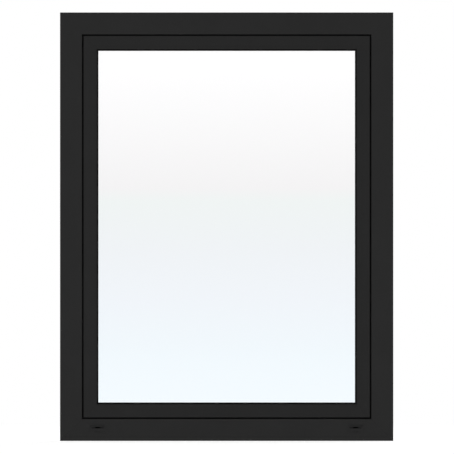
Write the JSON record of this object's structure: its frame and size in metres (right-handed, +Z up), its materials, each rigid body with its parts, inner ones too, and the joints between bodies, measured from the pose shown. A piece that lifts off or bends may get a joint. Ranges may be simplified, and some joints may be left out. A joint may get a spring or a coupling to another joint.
{
  "type": "casement window",
  "caption": "Side-hung casement window in black thermally broken aluminium with insulating glass, flush outside, opening into the room with a lever handle and hidden locking gear",
  "frame": {"origin": "middle of the underside of the outer frame, at half of the frame depth", "axes": "+X to the right and +Z up as seen from outside; the outside faces -Y and the room side faces +Y; hinges on the -X side"},
  "size_m": [0.7, 0.1198, 0.9],
  "materials": {
    "outside_coat": "matt fine-texture powder coat",
    "inside_coat": "matt fine-texture powder coat",
    "hardware_coat": "smooth satin powder coat",
    "polyamide": "extruded glass-filled nylon",
    "rubber": "extruded EPDM",
    "zinc": "die-cast zinc alloy, satin",
    "steel": "zinc-plated steel",
    "spacer": "matt black warm-edge spacer",
    "glass": "clear float glass"
  },
  "bodies": {
    "frame": {"frame_outer_head": "outside_coat", "frame_outer_sill": "outside_coat", "frame_outer_hinge_jamb": "outside_coat", "frame_outer_lock_jamb": "outside_coat", "frame_inner_head": "inside_coat", "frame_inner_sill": "inside_coat", "frame_inner_hinge_jamb": "inside_coat", "frame_inner_lock_jamb": "inside_coat", "frame_thermal_breaks": "polyamide", "frame_corner_cleats": "zinc", "centre_gasket": "rubber", "drain_cap_left": "outside_coat", "drain_cap_right": "outside_coat", "striker_plates": "zinc", "striker_screws": "steel", "upper_hinge_frame_leaf": "hardware_coat", "lower_hinge_frame_leaf": "hardware_coat", "upper_hinge_pin": "steel", "lower_hinge_pin": "steel", "hinge_frame_screws": "steel"},
    "sash": {"sash_outer_top_rail": "outside_coat", "sash_outer_bottom_rail": "outside_coat", "sash_outer_hinge_stile": "outside_coat", "sash_outer_lock_stile": "outside_coat", "sash_inner_top_rail": "inside_coat", "sash_inner_bottom_rail": "inside_coat", "sash_inner_hinge_stile": "inside_coat", "sash_inner_lock_stile": "inside_coat", "sash_thermal_breaks": "polyamide", "sash_corner_cleats": "zinc", "stop_gasket": "rubber", "outer_glass_pane": "glass", "inner_glass_pane": "glass", "glass_spacer_bar": "spacer", "glass_edge_sealant": "rubber", "outer_glazing_gasket": "rubber", "inner_glazing_gasket": "rubber", "glazing_bead_top": "inside_coat", "glazing_bead_bottom": "inside_coat", "glazing_bead_hinge_side": "inside_coat", "glazing_bead_lock_side": "inside_coat", "glazing_packers": "polyamide", "upper_hinge_sash_leaf": "hardware_coat", "lower_hinge_sash_leaf": "hardware_coat", "hinge_bushes": "polyamide", "hinge_sash_screws": "steel", "gearbox_case": "zinc", "corner_drives": "zinc", "rosette_base": "zinc", "rosette_cover": "hardware_coat", "rosette_screws": "steel"},
    "handle": {"handle_lever": "hardware_coat", "handle_spindle": "steel", "gearbox_pinion": "steel"},
    "lock_rod_set": {"lock_rod": "steel", "lock_rod_rollers": "zinc"},
    "head_rod_set": {"head_rod": "steel", "head_rod_roller": "zinc"},
    "sill_rod_set": {"sill_rod": "steel", "sill_rod_roller": "zinc"}
  },
  "joints": [
    {"name": "sash_turn", "type": "hinge", "parent": "frame", "child": "sash", "pos_m": [-0.333, 0.0515, 0.45], "axis": [0, 0, 1], "range_deg": [0, 95]},
    {"name": "handle_turn", "type": "hinge", "parent": "sash", "child": "handle", "pos_m": [0.2996, 0.0515, 0.45], "axis": [0, 1, 0], "range_deg": [0, 90]},
    {"name": "lock_rod_slide", "type": "slide", "parent": "sash", "child": "lock_rod_set", "axis": [0, 0, -1], "range_m": [0, 0.0118]},
    {"name": "head_rod_slide", "type": "slide", "parent": "sash", "child": "head_rod_set", "axis": [1, 0, 0], "range_m": [0, 0.0118]},
    {"name": "sill_rod_slide", "type": "slide", "parent": "sash", "child": "sill_rod_set", "axis": [-1, 0, 0], "range_m": [0, 0.0118]}
  ],
  "couplings": [
    {"joint": "lock_rod_slide", "follows": "handle_turn", "m_per_rad": 0.0075},
    {"joint": "head_rod_slide", "follows": "handle_turn", "m_per_rad": 0.0075},
    {"joint": "sill_rod_slide", "follows": "handle_turn", "m_per_rad": 0.0075}
  ]
}
